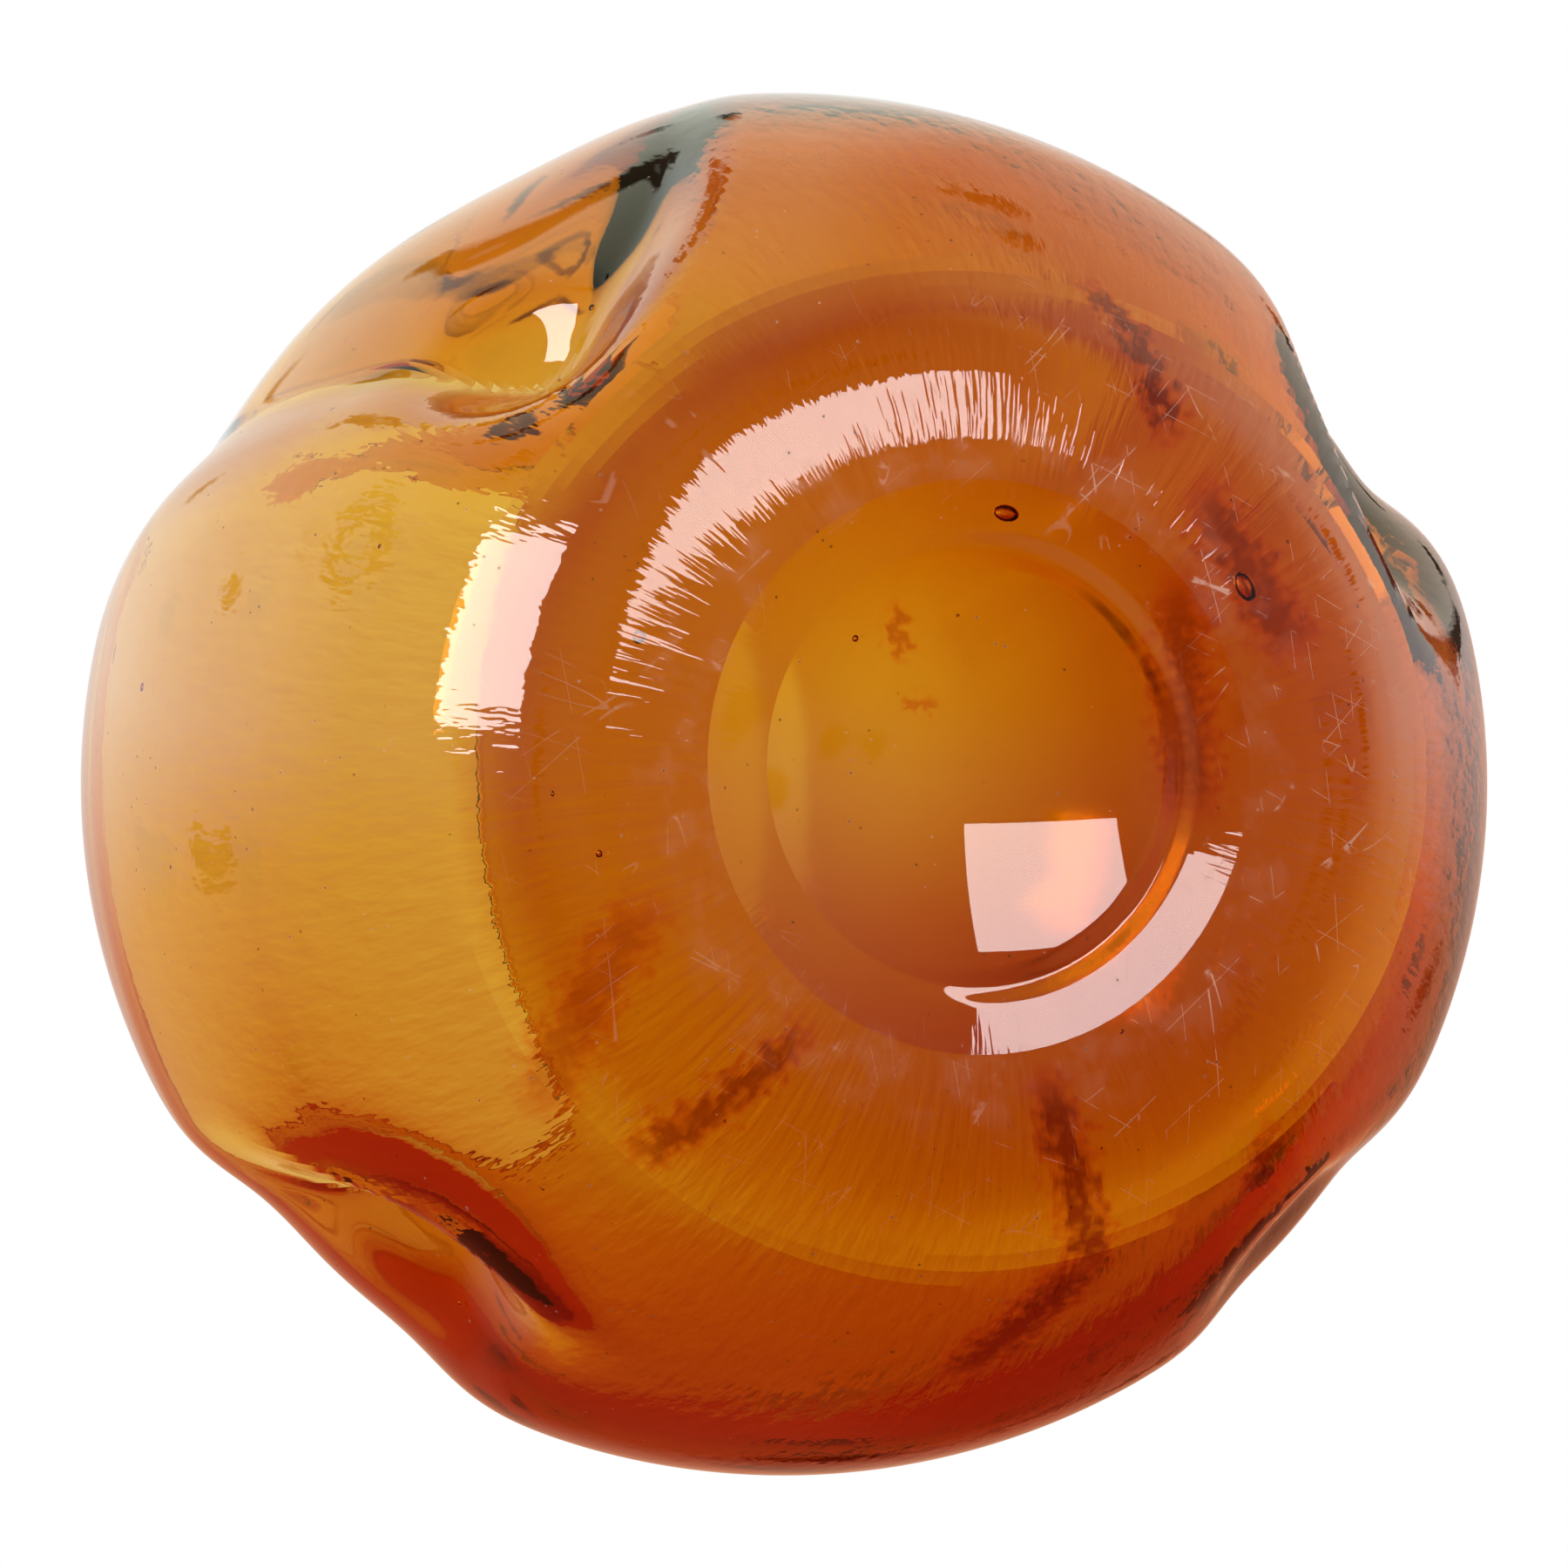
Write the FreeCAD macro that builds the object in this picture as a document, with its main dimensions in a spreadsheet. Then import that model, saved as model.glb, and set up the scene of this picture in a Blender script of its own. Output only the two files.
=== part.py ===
import FreeCAD, Part
import math
import os

# A free-standing bowl of thick blown glass: a nearly round body with four hollows pressed into its
# sides and a wide oval mouth that leans over towards -X.
# Millimetres, +Z up, origin on the resting plane under the middle of the bowl.

os.makedirs("parts", exist_ok=True)
doc = FreeCAD.newDocument("art_glass_bowl")

DIMENSIONS = [
    ("body_centre", 66.0),
    ("half_width_x", 80.6),
    ("half_width_y", 79.0),
    ("depth_below_centre", 79.0),
    ("rise_above_centre", 61.0),
    ("foot_softness", 5.0),
    ("foot_flat_radius", 32.0),
    ("kick_radius", 30.5),
    ("kick_sphere", 115.0),
    ("pontil_radius", 23.4),
    ("pontil_sphere", 67.0),
    ("mouth_lean", 33.0),
    ("mouth_half_angle", 36.0),
    ("mouth_widening", 9.0),
    ("lip_turn_out", 2.0),
    ("side_wall", 7.0),
    ("lip_thickness", 4.0),
    ("cavity_floor", 12.0),
    ("cavity_softness", 8.0),
    ("cavity_flat_radius", 2.5),
    ("hollow_arm", 79.0),
    ("hollow_shift", 8.0),
    ("hollow_depth", 10.5),
    ("hollow_edge", 18.0),
    ("hollow_side_softness", 1.1),
    ("hollow_edge_inside", 27.0),
    ("hollow_carry_through", 0.82),
    ("pocket_depth", 5.5),
    ("pocket_radius", 11.5),
    ("pocket_spread_inside", 1.25),
    ("pocket_carry_through", 0.95),
]

sheet = doc.addObject("Spreadsheet::Sheet", "dims")
for row, (alias, value) in enumerate(DIMENSIONS, start=1):
    sheet.set(f"A{row}", alias)
    sheet.set(f"B{row}", str(value))
    sheet.setAlias(f"B{row}", alias)
doc.recompute()


def size(alias):
    """A driving dimension from the sheet."""
    return float(sheet.get(alias))


# The four hollows, uneven as hand work leaves them: each drops in sharply behind a curved lower edge
# and runs out softly upwards. Azimuth and latitude of the lower edge's middle, seen from the body's
# centre, in degrees; share of hollow_depth; slope of the lower edge and its bow per millimetre;
# half width and how much it narrows per millimetre upwards; length of the run-out.
HOLLOWS = (
    (-127.0, -43.5, 0.95, 0.09, 0.020, 36.0, 0.0, 58.0),
    (-28.0, -47.0, 1.0, -0.10, 0.022, 22.0, 0.20, 60.0),
    (49.0, -38.0, 0.5, 0.20, 0.020, 18.0, 0.10, 40.0),
    (138.0, -24.5, 1.0, 0.60, 0.012, 20.0, 0.05, 42.0),
)
# The rounded pocket at the bottom of each of the three deeper hollows: azimuth, latitude, share.
POCKETS = (
    (-134.0, -33.0, 1.0),
    (-33.0, -31.0, 0.7),
    (133.0, -17.0, 0.9),
)

COLUMNS = 120
TURN_STEP = 4.2
LIP_ROWS = 6


def ease(value, start, end):
    """0 before start, 1 after end, with a smooth change between them."""
    t = min(1.0, max(0.0, (value - start) / (end - start)))
    return t * t * (3 - 2 * t)


def soft_minimum(a, b, softness):
    """The smaller of two lengths, with a rounded change from one to the other."""
    overlap = max(softness - abs(a - b), 0.0) / softness
    return min(a, b) - overlap * overlap * softness / 4.0


def heading(turn, around):
    """Unit direction from the body's centre: turn degrees up from the foot, around the leaning axis."""
    lean = math.radians(size("mouth_lean") * ease(turn, 30.0, 120.0))
    t, a = math.radians(turn), math.radians(around)
    away, side = math.sin(t) * math.cos(a), math.sin(t) * math.sin(a)
    down = math.cos(t)
    return FreeCAD.Vector(
        down * math.sin(lean) + away * math.cos(lean),
        side,
        away * math.sin(lean) - down * math.cos(lean),
    )


def body_reach(way):
    """Distance from the body's centre to the unpressed body."""
    vertical = size("rise_above_centre") if way.z > 0 else size("depth_below_centre")
    return 1.0 / math.sqrt(
        (way.x / size("half_width_x")) ** 2
        + (way.y / size("half_width_y")) ** 2
        + (way.z / vertical) ** 2
    )


def floored(reach, way, drop, softness):
    """The reach cut off softly by a level floor, drop below the body's centre."""
    if way.z > -0.1:
        return reach
    return soft_minimum(reach, -drop / way.z, softness)


def press(way, edge_width):
    """Sum of the hollows' shares in one direction, dropping in over edge_width."""
    total = 0.0
    for azimuth, latitude, share, slope, bow, half_width, narrowing, run_out in HOLLOWS:
        a, b = math.radians(azimuth), math.radians(latitude)
        middle = FreeCAD.Vector(math.cos(b) * math.cos(a), math.cos(b) * math.sin(a), math.sin(b))
        east = FreeCAD.Vector(-math.sin(a), math.cos(a), 0.0)
        x = size("hollow_arm") * way.dot(east)
        y = size("hollow_arm") * way.dot(middle.cross(east))
        above = y - slope * x - bow * x * x
        if way.dot(middle) < 0 or above < 0:
            continue
        width = max(10.0, half_width - narrowing * above)
        shifted = x + size("hollow_shift")
        sideways = math.exp(-((shifted / width) ** 4))
        rounding = edge_width + size("hollow_side_softness") * max(0.0, -shifted)
        total += share * sideways * ease(above, 0.0, rounding) * math.exp(-above / run_out)
    return total * (1 - ease(way.z, 0.3, 0.8))


def pocket(way, spread):
    """How much of the pockets' depth is pressed in one direction."""
    total = 0.0
    for azimuth, latitude, share in POCKETS:
        a, b = math.radians(azimuth), math.radians(latitude)
        middle = FreeCAD.Vector(math.cos(b) * math.cos(a), math.cos(b) * math.sin(a), math.sin(b))
        apart = size("hollow_arm") * math.acos(min(1.0, max(-1.0, way.dot(middle))))
        total += share * math.exp(-((apart / size("pocket_radius") / spread) ** 3))
    return total


def outer_reach(way, turn, rim):
    """Distance from the body's centre to the outside of the glass."""
    reach = body_reach(way) + size("lip_turn_out") * ease(turn, rim - 18.0, rim)
    reach = floored(reach, way, size("body_centre"), size("foot_softness"))
    pressed = size("hollow_depth") * press(way, size("hollow_edge"))
    return reach - pressed - size("pocket_depth") * pocket(way, 1.0)


def inner_reach(way, turn, rim):
    """Distance from the body's centre to the cavity's wall."""
    thinning = (size("side_wall") - size("lip_thickness")) * ease(turn, 95.0, rim - 10.0)
    reach = body_reach(way) + size("lip_turn_out") * ease(turn, rim - 18.0, rim)
    reach -= size("side_wall") - thinning
    drop = size("body_centre") - size("cavity_floor")
    reach = floored(reach, way, drop, size("cavity_softness"))
    reach -= size("hollow_carry_through") * size("hollow_depth") * press(way, size("hollow_edge_inside"))
    share = pocket(way, size("pocket_spread_inside"))
    return reach - size("pocket_carry_through") * size("pocket_depth") * share


def column(around):
    """Points of one column of the net: up the outside, over the lip and down into the cavity."""
    centre = FreeCAD.Vector(0.0, 0.0, size("body_centre"))
    half_angle = size("mouth_half_angle")
    half_angle += size("mouth_widening") * math.sin(math.radians(around)) ** 2
    rim = 180.0 - half_angle
    foot = math.degrees(math.atan2(size("foot_flat_radius"), size("body_centre")))
    drop = size("body_centre") - size("cavity_floor")
    floor = math.degrees(math.atan2(size("cavity_flat_radius"), drop))

    points = []
    steps = round((180.0 - foot) / TURN_STEP)
    for i in range(steps + 1):
        turn = foot + (rim - foot) * i / steps
        way = heading(turn, around)
        points.append(centre + way * outer_reach(way, turn, rim))

    way = heading(rim, around)
    onward = heading(rim + 0.5, around) - heading(rim - 0.5, around)
    onward.normalize()
    outside, inside = outer_reach(way, rim, rim), inner_reach(way, rim, rim)
    half = (outside - inside) / 2
    for i in range(1, LIP_ROWS):
        bend = math.pi * i / LIP_ROWS
        points.append(
            centre + way * (inside + half + half * math.cos(bend)) + onward * (half * math.sin(bend))
        )

    steps = round((180.0 - floor) / TURN_STEP)
    for i in range(steps + 1):
        turn = rim - (rim - floor) * i / steps
        way = heading(turn, around)
        points.append(centre + way * inner_reach(way, turn, rim))
    return points


def blown_solid():
    """One closed solid: a periodic cubic skin, with the flat base and the small flat of the floor."""
    net = [column(360.0 * i / COLUMNS) for i in range(COLUMNS)]
    rows = len(net[0])
    ends = [4] + [1] * (rows - 4) + [4]
    skin = Part.BSplineSurface()
    skin.buildFromPolesMultsKnots(
        net, [1] * (COLUMNS + 1), ends, list(range(COLUMNS + 1)), list(range(rows - 2)),
        True, False, 3, 3,
    )
    side = skin.toShape()
    faces = [side]
    for edge in side.Edges:
        if edge.BoundBox.ZLength < 0.01:
            faces.append(Part.Face(Part.Wire([edge])))
    shell = Part.makeShell(faces)
    shell.sewShape()
    solid = Part.makeSolid(shell)
    if solid.Volume < 0:
        solid.reverse()
    return solid


blown = doc.addObject("Part::Feature", "blown_form")
blown.Label = "blown_form"
blown.Shape = blown_solid()

kick = doc.addObject("Part::Sphere", "pushed_up_base")
kick.Label = "pushed_up_base"
kick.setExpression("Radius", "dims.kick_sphere * 1mm")
kick.setExpression("Placement.Base.z", "-sqrt(dims.kick_sphere ^ 2 - dims.kick_radius ^ 2) * 1mm")

pontil = doc.addObject("Part::Sphere", "pontil_grind")
pontil.Label = "pontil_grind"
pontil.setExpression("Radius", "dims.pontil_sphere * 1mm")
pontil.setExpression(
    "Placement.Base.z",
    "(sqrt(dims.kick_sphere ^ 2 - dims.pontil_radius ^ 2)"
    " - sqrt(dims.kick_sphere ^ 2 - dims.kick_radius ^ 2)"
    " - sqrt(dims.pontil_sphere ^ 2 - dims.pontil_radius ^ 2)) * 1mm",
)

dished = doc.addObject("Part::Cut", "dished_form")
dished.Label = "dished_form"
dished.Base = blown
dished.Tool = kick

bowl = doc.addObject("Part::Cut", "bowl_body")
bowl.Label = "bowl_body"
bowl.Base = dished
bowl.Tool = pontil

doc.recompute()

for item in doc.Objects:
    if "Invalid" in item.State or "Error" in item.State:
        raise RuntimeError(f"{item.Label} is {item.State}")
if bowl.Shape.isNull() or not bowl.Shape.isValid():
    raise RuntimeError("bowl_body isn't a valid shape")

bowl.Shape.exportStep(f"parts/{bowl.Label}.step")
box = bowl.Shape.BoundBox
print(f"bowl_body {box.XLength:.1f} x {box.YLength:.1f} x {box.ZLength:.1f} mm,"
      f" {len(bowl.Shape.Solids)} solid")
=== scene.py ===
import bpy
import math
import numpy as np
from mathutils import Matrix, Vector

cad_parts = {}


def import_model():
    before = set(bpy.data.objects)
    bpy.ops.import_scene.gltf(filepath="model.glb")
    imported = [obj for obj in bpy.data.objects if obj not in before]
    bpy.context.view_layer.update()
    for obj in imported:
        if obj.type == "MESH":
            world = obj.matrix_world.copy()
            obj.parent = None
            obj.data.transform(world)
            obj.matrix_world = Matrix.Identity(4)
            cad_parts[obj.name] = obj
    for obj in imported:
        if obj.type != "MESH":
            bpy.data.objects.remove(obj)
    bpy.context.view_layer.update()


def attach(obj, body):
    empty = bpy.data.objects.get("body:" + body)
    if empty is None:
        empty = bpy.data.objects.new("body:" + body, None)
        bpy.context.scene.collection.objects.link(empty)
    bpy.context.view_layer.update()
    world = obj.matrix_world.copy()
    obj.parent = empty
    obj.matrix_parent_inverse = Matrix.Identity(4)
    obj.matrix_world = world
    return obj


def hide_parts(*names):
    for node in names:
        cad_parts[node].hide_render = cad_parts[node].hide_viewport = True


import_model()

MM = 0.001

# The same bowl as the CAD model's, in millimetres until the mesh is made.
CENTRE = 66.0
HALF_X, HALF_Y, DOWN, UP = 80.6, 79.0, 79.0, 61.0
FOOT_SOFTNESS, FOOT_FLAT_RADIUS = 5.0, 32.0
KICK_RADIUS, KICK_SPHERE = 30.5, 115.0
PONTIL_RADIUS, PONTIL_SPHERE = 23.4, 67.0
MOUTH_LEAN, MOUTH_HALF_ANGLE, MOUTH_WIDENING = 33.0, 36.0, 9.0
LIP_TURN_OUT = 2.0
SIDE_WALL, LIP_THICKNESS = 7.0, 4.0
CAVITY_FLOOR, CAVITY_SOFTNESS = 12.0, 8.0
HOLLOW_ARM, HOLLOW_SHIFT, HOLLOW_SIDE_SOFTNESS = 79.0, 8.0, 1.1
HOLLOW_DEPTH, HOLLOW_EDGE = 10.5, 18.0
CARRY_THROUGH, EDGE_INSIDE = 0.82, 27.0
# Azimuth and latitude of the lower edge's middle in degrees, share of the depth, slope and bow of
# the lower edge, half width and its narrowing upwards, length of the run-out.
HOLLOWS = (
    (-127.0, -43.5, 0.95, 0.09, 0.020, 36.0, 0.0, 58.0),
    (-28.0, -47.0, 1.0, -0.10, 0.022, 22.0, 0.20, 60.0),
    (49.0, -38.0, 0.5, 0.20, 0.020, 18.0, 0.10, 40.0),
    (138.0, -24.5, 1.0, 0.60, 0.012, 20.0, 0.05, 42.0),
)
# The rounded pocket at the bottom of each of the three deeper hollows: azimuth, latitude, share.
POCKETS = ((-134.0, -33.0, 1.0), (-33.0, -31.0, 0.7), (133.0, -17.0, 0.9))
POCKET_DEPTH, POCKET_RADIUS, POCKET_SPREAD_INSIDE = 5.5, 11.5, 1.25
POCKET_CARRY = 0.95

COLUMNS = 400
OUTSIDE_RINGS, LIP_RINGS, INSIDE_RINGS = 124, 12, 84


def ease(value, start, end):
    t = np.clip((value - start) / (end - start), 0.0, 1.0)
    return t * t * (3 - 2 * t)


def direction(azimuth, latitude):
    """The unit direction at an azimuth and a latitude in degrees."""
    a, b = math.radians(azimuth), math.radians(latitude)
    return np.array([math.cos(b) * math.cos(a), math.cos(b) * math.sin(a), math.sin(b)])


def eastward(azimuth):
    a = math.radians(azimuth)
    return np.array([-math.sin(a), math.cos(a), 0.0])


def heading(turn, around):
    """Unit directions from the body's centre round one ring, turn degrees up from the foot."""
    lean = math.radians(MOUTH_LEAN) * ease(turn, 30.0, 120.0)
    t, a = np.radians(turn), np.radians(around)
    away, side = np.sin(t) * np.cos(a), np.sin(t) * np.sin(a)
    down = np.cos(t)
    return np.stack([
        down * np.sin(lean) + away * np.cos(lean),
        side,
        away * np.sin(lean) - down * np.cos(lean),
    ], axis=1)


def body_reach(way):
    vertical = np.where(way[:, 2] > 0, UP, DOWN)
    across = (way[:, 0] / HALF_X) ** 2 + (way[:, 1] / HALF_Y) ** 2
    return 1 / np.sqrt(across + (way[:, 2] / vertical) ** 2)


def floored(reach, way, drop, softness):
    """The reach cut off softly by a level floor, drop below the body's centre."""
    floor = drop / np.maximum(-way[:, 2], 0.1)
    overlap = np.maximum(softness - np.abs(reach - floor), 0.0) / softness
    lower = np.minimum(reach, floor) - overlap ** 2 * softness / 4
    return np.where(way[:, 2] < -0.1, lower, reach)


def press(way, edge_width):
    """Sum of the hollows' shares in each direction."""
    total = np.zeros(len(way))
    for azimuth, latitude, share, slope, bow, half_width, narrowing, run_out in HOLLOWS:
        middle = direction(azimuth, latitude)
        east = eastward(azimuth)
        x, y = HOLLOW_ARM * (way @ east), HOLLOW_ARM * (way @ np.cross(middle, east))
        above = y - slope * x - bow * x * x
        width = np.maximum(10.0, half_width - narrowing * above)
        sideways = np.exp(-(((x + HOLLOW_SHIFT) / width) ** 4))
        rounding = edge_width + HOLLOW_SIDE_SOFTNESS * np.maximum(0.0, -x - HOLLOW_SHIFT)
        run = np.exp(-np.maximum(above, 0.0) / run_out)
        pressed = share * sideways * ease(above, 0.0, rounding) * run
        total += np.where(way @ middle > 0, pressed, 0.0)
    return total * (1 - ease(way[:, 2], 0.3, 0.8))


def pocket(way, spread):
    """How much of the pockets' depth is pressed in each direction."""
    total = np.zeros(len(way))
    for azimuth, latitude, share in POCKETS:
        apart = HOLLOW_ARM * np.arccos(np.clip(way @ direction(azimuth, latitude), -1.0, 1.0))
        total += share * np.exp(-((apart / POCKET_RADIUS / spread) ** 3))
    return total


def outer_reach(way, turn, rim):
    reach = body_reach(way) + LIP_TURN_OUT * ease(turn, rim - 18.0, rim)
    reach = floored(reach, way, CENTRE, FOOT_SOFTNESS)
    return reach - HOLLOW_DEPTH * press(way, HOLLOW_EDGE) - POCKET_DEPTH * pocket(way, 1.0)


def inner_reach(way, turn, rim):
    thinning = (SIDE_WALL - LIP_THICKNESS) * ease(turn, 95.0, rim - 10.0)
    reach = body_reach(way) + LIP_TURN_OUT * ease(turn, rim - 18.0, rim) - SIDE_WALL + thinning
    reach = floored(reach, way, CENTRE - CAVITY_FLOOR, CAVITY_SOFTNESS)
    pressed = CARRY_THROUGH * HOLLOW_DEPTH * press(way, EDGE_INSIDE)
    return reach - pressed - POCKET_CARRY * POCKET_DEPTH * pocket(way, POCKET_SPREAD_INSIDE)


def level_ring(radius, height, around):
    a = np.radians(around)
    return np.stack([radius * np.cos(a), radius * np.sin(a), np.full(len(a), height)], axis=1)


def underside():
    """(radius, height) from the middle of the ground hollow out over the pushed-up base."""
    kick = -math.sqrt(KICK_SPHERE ** 2 - KICK_RADIUS ** 2)
    edge = kick + math.sqrt(KICK_SPHERE ** 2 - PONTIL_RADIUS ** 2)
    dish = edge - math.sqrt(PONTIL_SPHERE ** 2 - PONTIL_RADIUS ** 2)
    points = []
    for r in np.linspace(0.6, PONTIL_RADIUS, 20):
        points.append((r, dish + math.sqrt(PONTIL_SPHERE ** 2 - r ** 2)))
    for r in np.linspace(PONTIL_RADIUS, KICK_RADIUS, 8)[1:]:
        points.append((r, kick + math.sqrt(KICK_SPHERE ** 2 - r ** 2)))
    return points


def rings():
    """Rings of points from the middle of the base, up the outside, over the lip, to the floor."""
    around = np.arange(COLUMNS) * 360.0 / COLUMNS
    centre = np.array([0.0, 0.0, CENTRE])
    made = [level_ring(r, z, around) for r, z in underside()]
    rim = 180.0 - MOUTH_HALF_ANGLE - MOUTH_WIDENING * np.sin(np.radians(around)) ** 2
    foot = math.degrees(math.atan2(FOOT_FLAT_RADIUS, CENTRE))
    for part in np.linspace(0, 1, OUTSIDE_RINGS):
        turn = foot + (rim - foot) * part
        way = heading(turn, around)
        made.append(centre + way * outer_reach(way, turn, rim)[:, None])
    way = heading(rim, around)
    onward = heading(rim + 0.5, around) - heading(rim - 0.5, around)
    onward /= np.linalg.norm(onward, axis=1)[:, None]
    outside, inside = outer_reach(way, rim, rim)[:, None], inner_reach(way, rim, rim)[:, None]
    half = (outside - inside) / 2
    for bend in np.linspace(0, math.pi, LIP_RINGS)[1:-1]:
        outwards = way * (inside + half + half * math.cos(bend))
        made.append(centre + outwards + onward * half * math.sin(bend))
    for part in np.linspace(0, 1, INSIDE_RINGS):
        turn = rim + (2.7 - rim) * part
        way = heading(turn, around)
        made.append(centre + way * inner_reach(way, turn, rim)[:, None])
    return made


def bowl_mesh():
    """The bowl as one closed skin, shaded smooth but for the ground hollow's edge."""
    made = rings()
    first = made[0].mean(axis=0, keepdims=True)
    last = made[-1].mean(axis=0, keepdims=True)
    verts = np.concatenate([first] + made + [last]) * MM
    count = len(made)
    faces = []
    for a in range(COLUMNS):
        b = (a + 1) % COLUMNS
        faces.append((0, 1 + b, 1 + a))
        for row in range(count - 1):
            low, high = 1 + row * COLUMNS, 1 + (row + 1) * COLUMNS
            faces.append((low + a, low + b, high + b, high + a))
        top = 1 + (count - 1) * COLUMNS
        faces.append((top + a, top + b, len(verts) - 1))
    mesh = bpy.data.meshes.new("bowl_glass")
    mesh.from_pydata(verts.tolist(), [], faces)
    mesh.shade_smooth()
    mesh.set_sharp_from_angle(angle=math.radians(7))
    mesh.update()
    return mesh


class Nodes:
    """Short hands for building one node tree."""

    def __init__(self, tree):
        self.tree = tree

    def set(self, socket, value):
        if isinstance(value, bpy.types.NodeSocket):
            self.tree.links.new(value, socket)
        else:
            socket.default_value = value

    def math(self, operation, *values, clamp=False):
        node = self.tree.nodes.new("ShaderNodeMath")
        node.operation = operation
        node.use_clamp = clamp
        for socket, value in zip(node.inputs, values):
            self.set(socket, value)
        return node.outputs[0]

    def vector(self, operation, *values):
        node = self.tree.nodes.new("ShaderNodeVectorMath")
        node.operation = operation
        for socket, value in zip(node.inputs, values):
            self.set(socket, value)
        return node.outputs["Value" if operation in ("LENGTH", "DOT_PRODUCT") else "Vector"]

    def step(self, value, start, end):
        """0 before start, 1 after end, smooth between."""
        node = self.tree.nodes.new("ShaderNodeMapRange")
        node.interpolation_type = "SMOOTHSTEP"
        self.set(node.inputs["Value"], value)
        self.set(node.inputs["From Min"], start)
        self.set(node.inputs["From Max"], end)
        return node.outputs["Result"]

    def noise(self, place, scale, detail=2.0, distortion=0.0):
        node = self.tree.nodes.new("ShaderNodeTexNoise")
        self.set(node.inputs["Vector"], place)
        node.inputs["Scale"].default_value = scale
        node.inputs["Detail"].default_value = detail
        node.inputs["Distortion"].default_value = distortion
        return node.outputs["Fac"]

    def mix(self, factor, a, b):
        node = self.tree.nodes.new("ShaderNodeMix")
        node.data_type = "RGBA"
        self.set(node.inputs[0], factor)
        self.set(node.inputs[6], a)
        self.set(node.inputs[7], b)
        return node.outputs[2]


# Painted shade strokes: azimuth and latitude of both ends of each stroke, its half width and how
# strongly it shows.
SHADE_STROKES = (
    ((-74, -41), (-52, -52), 0.045, 1.0),
    ((-52, -52), (-14, -52), 0.075, 0.8),
    ((86, -28), (69, -44), 0.085, 1.0),
    ((71, -38), (74, -60), 0.070, 0.9),
    ((62, -14), (43, -48), 0.055, 1.0),
    ((139, -38), (161, -58), 0.085, 0.6),
    ((131, -42), (119, -61), 0.055, 0.8),
    ((-45, -56), (18, -61), 0.095, 0.75),
    ((-31, -31), (-14, -37), 0.070, 1.0),
    ((-110, -69), (-118, -77), 0.040, 0.6),
    ((-133, -80), (-96, -82), 0.030, 0.5),
)


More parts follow.
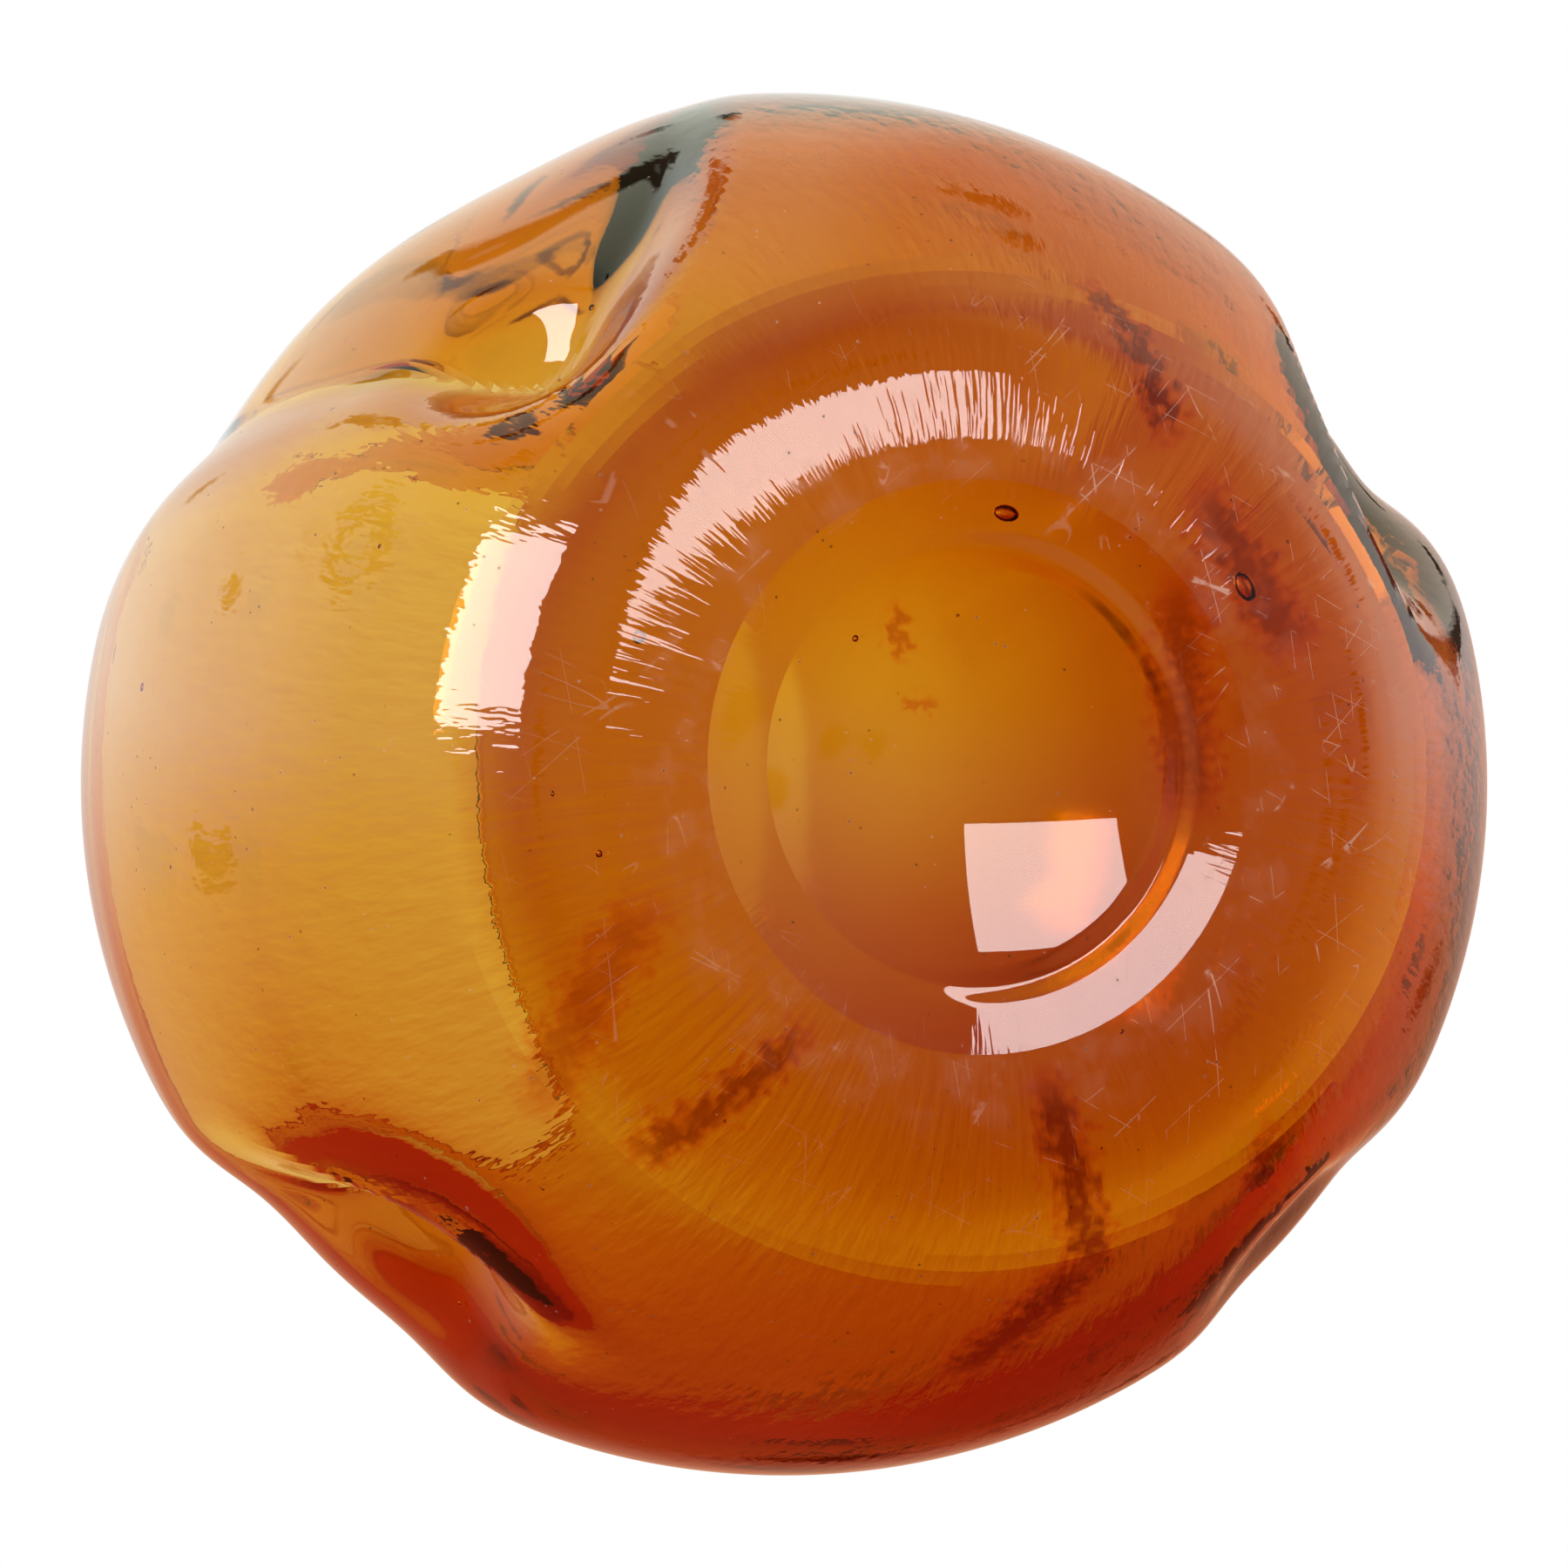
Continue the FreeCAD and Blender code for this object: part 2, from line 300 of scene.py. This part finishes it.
def glass_material():
    """Amber glass: ripples, a worn ring, fine scratches, specks, strokes of painted shade and the bead
    of the base.
    """
    material = bpy.data.materials.new("amber_glass")
    material.use_nodes = True
    tree = material.node_tree
    tree.nodes.clear()
    n = Nodes(tree)
    place = tree.nodes.new("ShaderNodeTexCoord").outputs["Object"]
    split = tree.nodes.new("ShaderNodeSeparateXYZ")
    n.set(split.inputs[0], place)
    x, y, z = split.outputs
    radius = n.math("SQRT", n.math("ADD", n.math("MULTIPLY", x, x), n.math("MULTIPLY", y, y)))
    from_centre = n.vector("LENGTH", n.vector("SUBTRACT", place, (0.0, 0.0, CENTRE * MM)))
    outside = n.math("MAXIMUM", n.step(from_centre, 0.0735, 0.0765), n.step(z, 0.0105, 0.0085))

    # Ripples: quick round the base, slow away from it.
    spoke = tree.nodes.new("ShaderNodeCombineXYZ")
    safe = n.math("ADD", radius, 0.004)
    n.set(spoke.inputs[0], n.math("DIVIDE", x, safe))
    n.set(spoke.inputs[1], n.math("DIVIDE", y, safe))
    n.set(spoke.inputs[2], n.math("MULTIPLY", z, 7.0))
    low = n.math("MULTIPLY", n.step(z, 0.075, 0.03), n.step(radius, 0.025, 0.037))
    ripple = n.noise(spoke.outputs[0], 40.0, 2.0)
    ripple = n.math("MULTIPLY", n.math("MULTIPLY", ripple, low), outside)
    waves = n.noise(place, 34.0, 0.0)
    relief = n.math("ADD", n.math("MULTIPLY", ripple, 0.085), n.math("MULTIPLY", waves, 0.5))
    # The rounded bead left round the ground hollow's edge, heaviest on the +X side.
    bead = n.math("MULTIPLY", n.step(radius, 0.0212, 0.0234), n.step(radius, 0.0256, 0.0234))
    bead = n.math("MULTIPLY", bead, n.step(x, -0.012, 0.016))
    bead = n.math("MULTIPLY", bead, n.step(z, 0.010, 0.0085))
    relief = n.math("MULTIPLY_ADD", bead, 0.5, relief)
    bump = tree.nodes.new("ShaderNodeBump")
    bump.inputs["Strength"].default_value = 1.0
    bump.inputs["Distance"].default_value = 0.001
    n.set(bump.inputs["Height"], relief)

    # The ring the bowl stands on: rubbed dull in patches, and crossed by scratches.
    ring = n.math("MULTIPLY", n.step(radius, 0.0285, 0.0315), n.step(radius, 0.0410, 0.0350))
    ring = n.math("MULTIPLY", ring, n.step(z, 0.004, 0.002))
    cloud = n.noise(place, 210.0, 3.0)
    worn = n.math("MULTIPLY", ring, n.step(cloud, 0.44, 0.66))
    near_base = n.math("MULTIPLY", n.step(z, 0.010, 0.001), n.step(radius, 0.024, 0.031))
    lines = []
    for angle in (24.0, 81.0, 137.0):
        t = math.radians(angle)
        along = n.vector("DOT_PRODUCT", place, (math.cos(t), math.sin(t), 0.0))
        across = n.vector("DOT_PRODUCT", place, (-math.sin(t), math.cos(t), 0.0))
        strokes = tree.nodes.new("ShaderNodeCombineXYZ")
        n.set(strokes.inputs[0], n.math("MULTIPLY", along, 0.09))
        n.set(strokes.inputs[1], across)
        strokes.inputs[2].default_value = angle
        ridge = n.noise(strokes.outputs[0], 230.0, 0.0)
        lines.append(n.step(n.math("ABSOLUTE", n.math("SUBTRACT", ridge, 0.5)), 0.0050, 0.0012))
    scratch = n.math("MAXIMUM", n.math("MAXIMUM", lines[0], lines[1]), lines[2])
    scratch = n.math("MULTIPLY", scratch, n.step(cloud, 0.52, 0.60))
    right_side = n.math("MULTIPLY_ADD", n.step(x, -0.01, 0.03), 0.7, 0.3)
    scratch = n.math("MULTIPLY", n.math("MULTIPLY", scratch, right_side), near_base)
    scratch = n.math("MULTIPLY", scratch, outside)

    # Painted shade: dark, ragged strokes coloured onto the cavity's side of the wall, standing in for
    # dark lines of shade seen through the glass.
    way = n.vector("NORMALIZE", n.vector("SUBTRACT", place, (0.0, 0.0, CENTRE * MM)))
    teeth = n.math("SUBTRACT", n.noise(way, 48.0, 1.0), 0.5)
    painted_shade = 0.0
    for one, other, wide, depth in SHADE_STROKES:
        start, end = direction(*one), direction(*other)
        side = np.cross(start, end)
        side = side / np.linalg.norm(side)
        middle = (start + end) / np.linalg.norm(start + end)
        reach = float(start @ middle)
        off = n.vector("DOT_PRODUCT", way, tuple(side))
        off = n.math("ABSOLUTE", n.math("MULTIPLY_ADD", teeth, 0.09, off))
        nearness = n.vector("DOT_PRODUCT", way, tuple(middle))
        inside_ends = n.step(nearness, reach, reach + (1 - reach) * 0.8)
        stroke = n.math("MULTIPLY", n.step(off, wide, 0.0), inside_ends)
        painted_shade = n.math("MAXIMUM", painted_shade, n.math("MULTIPLY", stroke, depth))
    painted_shade = n.math("MULTIPLY", painted_shade, n.math("SUBTRACT", 1.0, outside))

    dots = tree.nodes.new("ShaderNodeTexVoronoi")
    n.set(dots.inputs["Vector"], place)
    dots.inputs["Scale"].default_value = 560.0
    speck = n.math("MULTIPLY", n.step(dots.outputs["Distance"], 0.12, 0.07), n.step(cloud, 0.56, 0.62))

    glass = tree.nodes.new("ShaderNodeBsdfPrincipled")
    tint = n.step(cloud, 0.3, 0.7)
    clear = n.mix(tint, (1.0, 1.0, 1.0, 1), (0.985, 0.96, 0.93, 1))
    # The base colour turns pale red, then dark red, along the strokes of painted shade.
    pale_painted_shade = n.mix(n.step(painted_shade, 0.0, 0.5), clear, (0.93, 0.42, 0.25, 1))
    tinted = n.mix(n.step(painted_shade, 0.3, 1.0), pale_painted_shade, (0.16, 0.01, 0.005, 1))
    n.set(glass.inputs["Base Color"], tinted)
    glass.inputs["Transmission Weight"].default_value = 1.0
    glass.inputs["IOR"].default_value = 1.5
    cavity_floor = n.math("MULTIPLY", n.step(z, 0.0190, 0.0145), n.step(radius, 0.042, 0.026))
    cavity_floor = n.math("MULTIPLY", cavity_floor, n.math("SUBTRACT", 1.0, outside))
    rough = n.math("MULTIPLY_ADD", worn, 0.10, n.math("MULTIPLY", scratch, 0.3))
    rough = n.math("MULTIPLY_ADD", cavity_floor, 0.2, rough)
    n.set(glass.inputs["Roughness"], n.math("ADD", rough, 0.004))
    n.set(glass.inputs["Normal"], bump.outputs[0])

    # Rubbed glass, scratches and specks don't let light through.
    dull = tree.nodes.new("ShaderNodeBsdfPrincipled")
    n.set(dull.inputs["Base Color"], n.mix(speck, (0.80, 0.66, 0.55, 1), (0.10, 0.03, 0.01, 1)))
    dull.inputs["Roughness"].default_value = 0.75
    cover = n.math("MULTIPLY_ADD", scratch, 0.30, n.math("MULTIPLY", worn, 0.03))
    cover = n.math("ADD", cover, n.math("MULTIPLY", speck, 0.6), clamp=True)
    blend = tree.nodes.new("ShaderNodeMixShader")
    n.set(blend.inputs[0], cover)
    tree.links.new(glass.outputs[0], blend.inputs[1])
    tree.links.new(dull.outputs[0], blend.inputs[2])

    out = tree.nodes.new("ShaderNodeOutputMaterial")
    tree.links.new(blend.outputs[0], out.inputs["Surface"])
    absorb = tree.nodes.new("ShaderNodeVolumeAbsorption")
    absorb.inputs["Color"].default_value = (0.920, 0.735, 0.0, 1)
    absorb.inputs["Density"].default_value = 430.0
    tree.links.new(absorb.outputs[0], out.inputs["Volume"])
    return material


# Azimuth and latitude in degrees, half length and half width in millimetres.
LARGE_BUBBLES = (
    (-81, -65, 1.5, 1.0), (-32, -58, 1.7, 1.2), (-160, -57, 0.7, 0.7), (-131, -72, 0.4, 0.4),
    (167, -55, 0.4, 0.35), (-173, -8, 0.5, 0.35), (-76, -23, 0.5, 0.35), (-123, -29, 0.4, 0.35),
)
SMALL_BUBBLES = 26
# Below this latitude a bubble lies in the base, this far below the body's centre.
BASE_LATITUDE, BASE_GLASS_DROP = -66, 57.5


def bubbles():
    """Seed bubbles drawn out in the glass, as one mesh of small flattened balls."""
    seeds = list(LARGE_BUBBLES)
    chance = np.random.default_rng(7)
    for _ in range(SMALL_BUBBLES):
        small = chance.uniform(0.15, 0.32)
        seeds.append((chance.uniform(-180, 180), chance.uniform(-75, 30), small, small * 0.8))
    verts, faces = [], []
    rows, columns = 10, 16
    for azimuth, latitude, long, short in seeds:
        out = direction(azimuth, latitude)
        east = eastward(azimuth)
        north = np.cross(out, east)
        way = out[None, :]
        middle = (outer_reach(way, 60.0, 140.0)[0] + inner_reach(way, 60.0, 140.0)[0]) / 2
        if latitude < BASE_LATITUDE:
            middle = BASE_GLASS_DROP / -out[2]
        start = len(verts)
        for i in range(rows + 1):
            t = math.pi * i / rows
            for j in range(columns):
                p = 2 * math.pi * j / columns
                ball = east * long * math.sin(t) * math.cos(p)
                ball = ball + north * short * math.sin(t) * math.sin(p)
                ball = ball + out * short * 0.8 * math.cos(t)
                verts.append(((np.array([0, 0, CENTRE]) + out * middle + ball) * MM).tolist())
        for i in range(rows):
            for j in range(columns):
                k = (j + 1) % columns
                faces.append((start + i * columns + j, start + i * columns + k,
                              start + (i + 1) * columns + k, start + (i + 1) * columns + j))
    mesh = bpy.data.meshes.new("seed_bubbles")
    mesh.from_pydata(verts, [], faces)
    mesh.validate()
    mesh.shade_smooth()
    return mesh


def bubble_material():
    """The skin of a gas bubble inside the glass."""
    material = bpy.data.materials.new("bubble_skin")
    material.use_nodes = True
    tree = material.node_tree
    n = Nodes(tree)
    shade = tree.nodes["Principled BSDF"]
    place = tree.nodes.new("ShaderNodeTexCoord").outputs["Object"]
    uneven = n.noise(place, 900.0, 2.0)
    n.set(shade.inputs["Base Color"], n.mix(uneven, (1.0, 0.9, 0.8, 1), (0.9, 0.5, 0.3, 1)))
    n.set(shade.inputs["Roughness"], n.math("MULTIPLY", uneven, 0.06))
    shade.inputs["Transmission Weight"].default_value = 1.0
    shade.inputs["IOR"].default_value = 1.5
    return material


def make_camera():
    """Looks up at the underside, with the base turned a little to the right of the picture."""
    distance, turn, nod = 0.80, math.radians(18.5), math.radians(1.7)
    right = Vector((math.cos(turn), 0, -math.sin(turn)))
    up = Vector((0, -1, 0))
    back = Vector((-math.sin(turn), 0, -math.cos(turn)))
    up, back = up * math.cos(nod) + back * math.sin(nod), back * math.cos(nod) - up * math.sin(nod)
    target = Vector((0, 0, CENTRE * MM))
    data = bpy.data.cameras.new("camera")
    data.sensor_width = 36.0
    data.lens = 36.0 * distance / 0.180
    camera = bpy.data.objects.new("camera", data)
    bpy.context.scene.collection.objects.link(camera)
    turned = Matrix((right, up, back)).transposed().to_4x4()
    camera.matrix_world = Matrix.Translation(target + back * distance) @ turned
    bpy.context.scene.camera = camera
    return right, up, back


LIGHT_DISTANCE, WARM = 0.9, (1.0, 0.93, 0.9)


def softbox(name, direction, upright, distance, wide, tall, power, colour):
    """A soft rectangular light facing the bowl, wide and tall in degrees seen from it."""
    data = bpy.data.lights.new(name, "AREA")
    data.shape = "RECTANGLE"
    data.size = 2 * distance * math.tan(math.radians(wide / 2))
    data.size_y = 2 * distance * math.tan(math.radians(tall / 2))
    data.energy = power
    data.color = colour
    light = bpy.data.objects.new(name, data)
    bpy.context.scene.collection.objects.link(light)
    back = direction.normalized()
    across = upright.cross(back).normalized()
    high = back.cross(across)
    turned = Matrix((across, high, back)).transposed().to_4x4()
    light.matrix_world = Matrix.Translation(Vector((0, 0, CENTRE * MM)) + back * distance) @ turned
    light.visible_camera = False
    return light


def ramp(tree, value, stops):
    """A colour ramp over a direction's share of one axis, -1 to 1."""
    spread = tree.nodes.new("ShaderNodeMath")
    spread.operation = "MULTIPLY_ADD"
    spread.inputs[1].default_value = 0.5
    spread.inputs[2].default_value = 0.5
    tree.links.new(value, spread.inputs[0])
    made = tree.nodes.new("ShaderNodeValToRGB")
    elements = made.color_ramp.elements
    while len(elements) < len(stops):
        elements.new(0.5)
    for element, (place, colour) in zip(elements, stops):
        element.position = place * 0.5 + 0.5
        element.color = (*colour, 1)
    tree.links.new(spread.outputs[0], made.inputs[0])
    return made.outputs[0]


def world(right, up, back):
    """A bright tent behind and beside the bowl, its table below painted with the glass's amber shadow,
    a dim room in front.
    """
    made = bpy.data.worlds.new("world")
    bpy.context.scene.world = made
    made.use_nodes = True
    tree = made.node_tree
    tree.nodes.clear()
    out = tree.nodes.new("ShaderNodeOutputWorld")
    shade = tree.nodes.new("ShaderNodeBackground")
    where = tree.nodes.new("ShaderNodeTexCoord")
    shares = []
    for axis in (right, up, back):
        dot = tree.nodes.new("ShaderNodeVectorMath")
        dot.operation = "DOT_PRODUCT"
        dot.inputs[1].default_value = tuple(axis)
        tree.links.new(where.outputs["Generated"], dot.inputs[0])
        shares.append(dot.outputs["Value"])
    depth = ramp(tree, shares[2], (
        (-0.97, (0.5, 0.5, 0.5)), (-0.7, (0.62, 0.6, 0.6)), (-0.1, (0.62, 0.58, 0.57)),
        (0.3, (0.24, 0.21, 0.20)), (1.0, (0.13, 0.11, 0.11)),
    ))
    across = ramp(tree, shares[0], (
        (-0.9, (0.56, 0.68, 0.92)), (-0.35, (0.47, 0.49, 0.5)), (0.03, (0.5, 0.5, 0.5)),
        (0.18, (0.42, 0.30, 0.25)), (0.5, (0.45, 0.38, 0.35)), (0.9, (0.60, 0.55, 0.56)),
    ))
    # Painted shadow: directions towards the bottom of the view turn dark red, the amber shadow of the
    # glass on the table.
    height = ramp(tree, shares[1], (
        (-0.5, (0.46, 0.06, 0.02)), (-0.16, (0.70, 0.34, 0.20)), (0.10, (1.0, 1.0, 1.0)),
        (0.35, (1.08, 1.1, 0.95)), (0.9, (0.88, 0.88, 0.60)),
    ))
    streak = tree.nodes.new("ShaderNodeTexNoise")
    streak.inputs["Scale"].default_value = 3.4
    streak.inputs["Detail"].default_value = 1.0
    tree.links.new(where.outputs["Generated"], streak.inputs["Vector"])
    things = ramp(tree, streak.outputs["Fac"], (
        (0.0, (1.0, 1.0, 1.0)), (0.20, (1.0, 1.0, 1.0)), (0.24, (0.12, 0.08, 0.06)),
        (0.30, (0.12, 0.08, 0.06)), (0.34, (1.0, 1.0, 1.0)),
    ))
    colour = depth
    for other in (across, height, things):
        mix = tree.nodes.new("ShaderNodeMix")
        mix.data_type = "RGBA"
        mix.blend_type = "MULTIPLY"
        mix.inputs[0].default_value = 1.0
        tree.links.new(colour, mix.inputs[6])
        tree.links.new(other, mix.inputs[7])
        colour = mix.outputs[2]
    tree.links.new(colour, shade.inputs["Color"])
    shade.inputs["Strength"].default_value = 4.0
    plain = tree.nodes.new("ShaderNodeBackground")
    path = tree.nodes.new("ShaderNodeLightPath")
    pick = tree.nodes.new("ShaderNodeMixShader")
    tree.links.new(path.outputs["Is Camera Ray"], pick.inputs[0])
    tree.links.new(shade.outputs[0], pick.inputs[1])
    tree.links.new(plain.outputs[0], pick.inputs[2])
    plain.inputs["Color"].default_value = (1, 1, 1, 1)
    tree.links.new(pick.outputs[0], out.inputs["Surface"])


def floor():
    """A pale floor, clear from below, its colour offset to look neutral in the tinted light."""
    mesh = bpy.data.meshes.new("floor")
    mesh.from_pydata([(-9, -9, 0), (9, -9, 0), (9, 9, 0), (-9, 9, 0)], [], [(0, 1, 2, 3)])
    made = bpy.data.objects.new("floor", mesh)
    bpy.context.scene.collection.objects.link(made)
    made.location.z = -0.0002
    made.visible_glossy = False
    made.visible_transmission = False
    made.visible_shadow = False
    material = bpy.data.materials.new("pale_floor")
    material.use_nodes = True
    tree = material.node_tree
    shade = tree.nodes["Principled BSDF"]
    shade.inputs["Base Color"].default_value = (0.72, 0.88, 0.90, 1)
    shade.inputs["Roughness"].default_value = 0.7
    clear = tree.nodes.new("ShaderNodeBsdfTransparent")
    side = tree.nodes.new("ShaderNodeNewGeometry")
    mix = tree.nodes.new("ShaderNodeMixShader")
    tree.links.new(side.outputs["Backfacing"], mix.inputs[0])
    tree.links.new(shade.outputs[0], mix.inputs[1])
    tree.links.new(clear.outputs[0], mix.inputs[2])
    tree.links.new(mix.outputs[0], tree.nodes["Material Output"].inputs["Surface"])
    mesh.materials.append(material)


right, up, back = make_camera()
world(right, up, back)
floor()

bowl = bpy.data.objects.new("bowl_glass", bowl_mesh())
bpy.context.scene.collection.objects.link(bowl)
bowl.data.materials.append(glass_material())
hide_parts("bowl_body")
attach(bowl, "root")

seeds = bpy.data.objects.new("seed_bubbles", bubbles())
bpy.context.scene.collection.objects.link(seeds)
seeds.data.materials.append(bubble_material())
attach(seeds, "root")

key = right * -0.642 + up * 0.392 + back * 0.66
softbox("key_softbox", key, up, LIGHT_DISTANCE, 15, 29, 5.0, WARM)
fill = right * 0.394 + up * 0.369 + back * 0.843
fill_light = softbox("fill_softbox", fill, up, LIGHT_DISTANCE, 25, 21, 4.8, WARM)
fill_light.visible_transmission = False

bpy.context.scene.view_settings.view_transform = "Standard"
